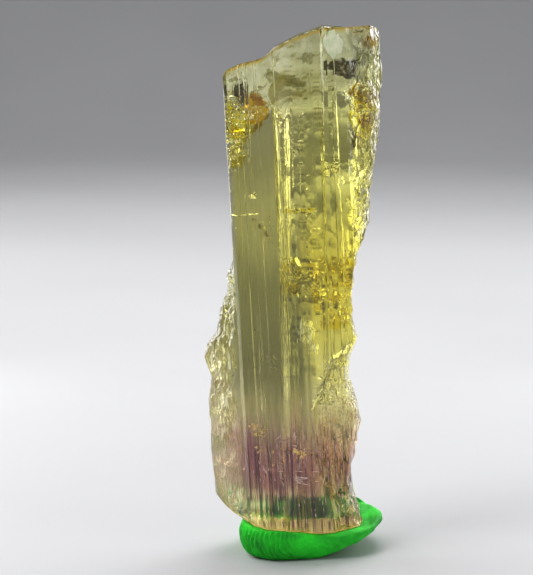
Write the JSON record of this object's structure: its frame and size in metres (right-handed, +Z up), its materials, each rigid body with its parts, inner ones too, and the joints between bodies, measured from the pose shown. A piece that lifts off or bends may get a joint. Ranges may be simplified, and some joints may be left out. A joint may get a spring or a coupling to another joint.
{
  "type": "tourmaline crystal",
  "caption": "Clear olive-yellow and mauve tourmaline prism with a broken top, worn flanks and a broken base, standing upright in a pressed pat of green modelling putty.",
  "frame": {"origin": "on the table, under the middle of the whole part's bounding box", "axes": "+Z up, along the crystal's length but for its 3.2 degree lean towards -X; -Y is the side of the crystal's smooth window face, and +X is on its right as seen from there"},
  "size_m": [0.0184, 0.0146, 0.054],
  "materials": {
    "crystal": "polished",
    "putty": "matte"
  },
  "bodies": {
    "root": {"tourmaline_crystal": "crystal", "display_putty": "putty"}
  },
  "joints": []
}
